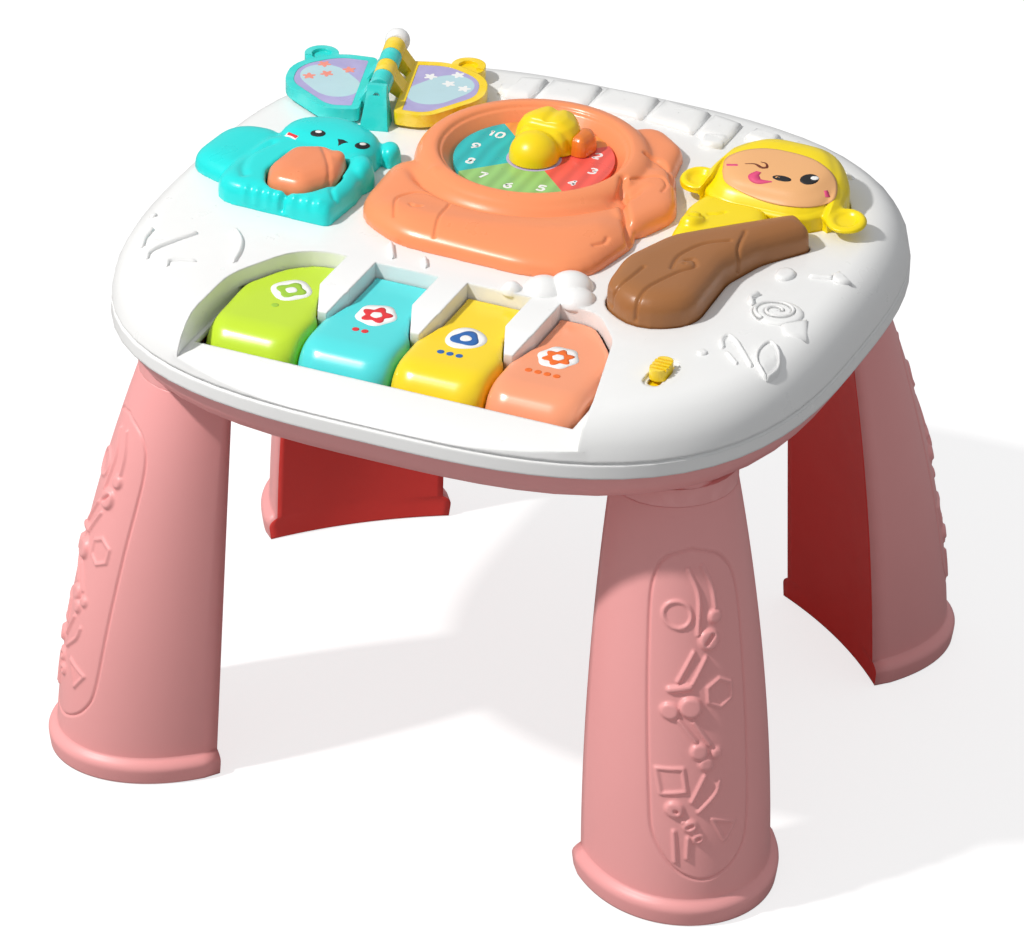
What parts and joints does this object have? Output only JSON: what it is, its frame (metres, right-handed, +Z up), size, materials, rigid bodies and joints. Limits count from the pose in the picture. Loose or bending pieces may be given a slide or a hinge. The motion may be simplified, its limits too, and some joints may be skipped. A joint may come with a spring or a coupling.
{
  "type": "musical activity table",
  "caption": "Low toddler activity table on curved legs: piano keys, a turning clock pointer, animal push buttons, a page-turning book and a switch.",
  "frame": {"origin": "on the floor under the middle of the table top", "axes": "+Z up, +X to the right and -Y toward the child, who sits at the key side"},
  "size_m": [0.3682, 0.333, 0.276],
  "materials": {
    "pink_plastic": "satin",
    "white_plastic": "gloss",
    "green_plastic": "gloss",
    "teal_plastic": "gloss",
    "yellow_plastic": "gloss",
    "orange_plastic": "gloss",
    "amber_plastic": "gloss",
    "tan_plastic": "satin",
    "brown_plastic": "satin",
    "steel": "satin",
    "board": "satin",
    "contact_rubber": "satin",
    "dome_rubber": "satin",
    "printed_dial": "gloss",
    "printed_card": "gloss",
    "grey_plastic": "satin",
    "black_plastic": "satin",
    "cell_jacket": "satin"
  },
  "bodies": {
    "table": {"top_shell": "white_plastic", "base_tray": "pink_plastic", "leg_back_right": "pink_plastic", "leg_back_left": "pink_plastic", "leg_front_left": "pink_plastic", "leg_front_right": "pink_plastic", "leg_screws": "steel", "housing_screws": "steel", "key_rod": "steel", "key_board": "board", "key_dome_green": "contact_rubber", "key_dome_teal": "contact_rubber", "key_dome_yellow": "contact_rubber", "key_dome_orange": "contact_rubber", "elephant_cover": "orange_plastic", "clock_face": "printed_dial", "squirrel_body": "teal_plastic", "acorn_dome": "dome_rubber", "monkey_body": "yellow_plastic", "monkey_dome": "dome_rubber", "log_dome": "dome_rubber", "contact_boards": "board", "contact_screws": "steel", "spine_pin": "steel", "spine_front": "teal_plastic", "spine_rear": "white_plastic", "switch_case": "black_plastic", "main_board": "board", "board_parts": "black_plastic", "speaker": "black_plastic", "batteries": "cell_jacket", "battery_contacts": "steel", "battery_cover": "pink_plastic", "battery_screw": "steel"},
    "key_one": {"key_green": "green_plastic"},
    "key_two": {"key_teal": "teal_plastic"},
    "key_three": {"key_yellow": "yellow_plastic"},
    "key_four": {"key_orange": "orange_plastic"},
    "pointer": {"pointer_knob": "yellow_plastic", "pointer_beak": "amber_plastic", "spindle": "grey_plastic", "spindle_screw": "steel"},
    "acorn": {"acorn_button": "orange_plastic"},
    "monkey": {"monkey_head": "yellow_plastic", "monkey_face": "tan_plastic"},
    "log": {"log_button": "brown_plastic"},
    "right_page": {"page_yellow": "yellow_plastic", "card_right": "printed_card"},
    "left_page": {"page_teal": "teal_plastic", "card_left": "printed_card"},
    "switch": {"switch_nub": "yellow_plastic"}
  },
  "joints": [
    {"name": "key_one_press", "type": "hinge", "parent": "table", "child": "key_one", "pos_m": [0, -0.051, 0.239], "axis": [1, 0, 0], "range_deg": [0, 3], "stiffness_Nm_per_rad": 0.4, "springref_deg": -5.73, "deforming": ["key_dome_green"]},
    {"name": "key_two_press", "type": "hinge", "parent": "table", "child": "key_two", "pos_m": [0, -0.051, 0.239], "axis": [1, 0, 0], "range_deg": [0, 3], "stiffness_Nm_per_rad": 0.4, "springref_deg": -5.73, "deforming": ["key_dome_teal"]},
    {"name": "key_three_press", "type": "hinge", "parent": "table", "child": "key_three", "pos_m": [0, -0.051, 0.239], "axis": [1, 0, 0], "range_deg": [0, 3], "stiffness_Nm_per_rad": 0.4, "springref_deg": -5.73, "deforming": ["key_dome_yellow"]},
    {"name": "key_four_press", "type": "hinge", "parent": "table", "child": "key_four", "pos_m": [0, -0.051, 0.239], "axis": [1, 0, 0], "range_deg": [0, 3], "stiffness_Nm_per_rad": 0.4, "springref_deg": -5.73, "deforming": ["key_dome_orange"]},
    {"name": "acorn_press", "type": "slide", "parent": "table", "child": "acorn", "axis": [0, 0, -1], "range_m": [0, 0.0035], "stiffness_N_per_m": 500, "springref_m": -0.004, "deforming": ["acorn_dome"]},
    {"name": "monkey_press", "type": "slide", "parent": "table", "child": "monkey", "axis": [0, 0, -1], "range_m": [0, 0.0035], "stiffness_N_per_m": 500, "springref_m": -0.004, "deforming": ["monkey_dome"]},
    {"name": "log_press", "type": "slide", "parent": "table", "child": "log", "axis": [0, 0, -1], "range_m": [0, 0.0035], "stiffness_N_per_m": 500, "springref_m": -0.004, "deforming": ["log_dome"]},
    {"name": "pointer_turn", "type": "hinge", "parent": "table", "child": "pointer", "pos_m": [-0.014, 0.0545, 0.26], "axis": [0, 0, 1], "continuous": true},
    {"name": "left_page_turn", "type": "hinge", "parent": "table", "child": "left_page", "pos_m": [-0.11, 0.097, 0.268], "axis": [-0.2588, 0.9659, 0], "range_deg": [0, 180]},
    {"name": "right_page_turn", "type": "hinge", "parent": "table", "child": "right_page", "pos_m": [-0.11, 0.097, 0.268], "axis": [0.2588, -0.9659, 0], "range_deg": [0, 180]},
    {"name": "switch_slide", "type": "slide", "parent": "table", "child": "switch", "axis": [0, 1, 0], "range_m": [-0.003, 0.003]}
  ]
}
